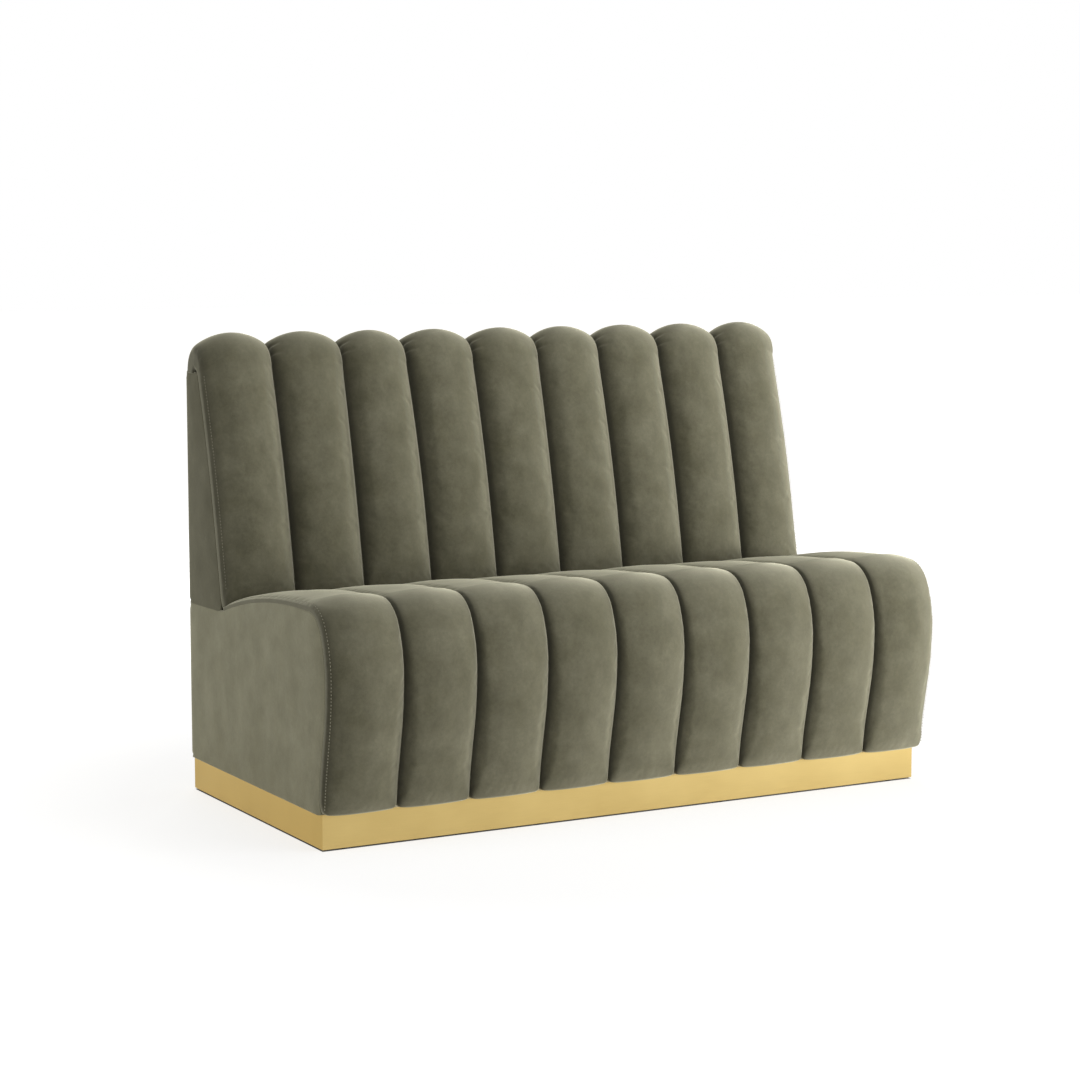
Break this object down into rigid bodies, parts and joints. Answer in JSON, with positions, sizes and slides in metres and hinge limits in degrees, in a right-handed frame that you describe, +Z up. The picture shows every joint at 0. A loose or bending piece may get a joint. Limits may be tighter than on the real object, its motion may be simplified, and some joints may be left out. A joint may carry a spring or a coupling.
{
  "type": "banquette",
  "caption": "Straight upholstered banquette with vertical channel tufting, a waterfall seat front, a raked back and a low metal-clad plinth.",
  "frame": {"origin": "on the floor, under the middle of the bench's outline in plan", "axes": "+X along the bench to the sitter's left, which is right in a front view, +Y from the front to the rear, +Z up"},
  "size_m": [1.371, 0.7095, 0.9349],
  "materials": {
    "velvet": "olive grey cotton velvet over shaped foam, soft nap",
    "foam": "cut upholstery foam",
    "plywood": "raw birch plywood",
    "hardwood": "planed hardwood",
    "brass_cladding": "satin brass colour, fine horizontal brushing",
    "nylon": "black nylon",
    "zinc_steel": "zinc plated"
  },
  "bodies": {
    "root": {"back_bolts": "zinc_steel", "back_bottom_rail": "hardwood", "back_channel_1": "velvet", "back_channel_2": "velvet", "back_channel_3": "velvet", "back_channel_4": "velvet", "back_channel_5": "velvet", "back_channel_6": "velvet", "back_channel_7": "velvet", "back_channel_8": "velvet", "back_channel_9": "velvet", "back_end_frame_left": "plywood", "back_end_frame_right": "plywood", "back_former_1": "plywood", "back_former_2": "plywood", "back_former_3": "plywood", "back_front_skin": "plywood", "back_middle_rail": "hardwood", "back_rear_panel": "velvet", "back_side_pad_left": "velvet", "back_side_pad_right": "velvet", "back_tee_nuts": "zinc_steel", "back_top_rail": "hardwood", "cladding_front": "brass_cladding", "cladding_left": "brass_cladding", "cladding_rear": "brass_cladding", "cladding_right": "brass_cladding", "glides": "nylon", "plinth_cross_rails": "plywood", "plinth_fixing_blocks": "hardwood", "plinth_front_rail": "plywood", "plinth_left_rail": "plywood", "plinth_rear_rail": "plywood", "plinth_right_rail": "plywood", "plinth_screws": "zinc_steel", "seat_base_board": "plywood", "seat_channel_1": "velvet", "seat_channel_2": "velvet", "seat_channel_3": "velvet", "seat_channel_4": "velvet", "seat_channel_5": "velvet", "seat_channel_6": "velvet", "seat_channel_7": "velvet", "seat_channel_8": "velvet", "seat_channel_9": "velvet", "seat_deck_foam": "foam", "seat_deck_skin": "plywood", "seat_end_panel_left": "plywood", "seat_end_panel_right": "plywood", "seat_former_1": "plywood", "seat_former_2": "plywood", "seat_former_3": "plywood", "seat_front_foam": "foam", "seat_front_rail": "hardwood", "seat_front_skin": "plywood", "seat_rear_deck": "plywood", "seat_rear_panel": "velvet", "seat_side_pad_left": "velvet", "seat_side_pad_right": "velvet"}
  },
  "joints": []
}
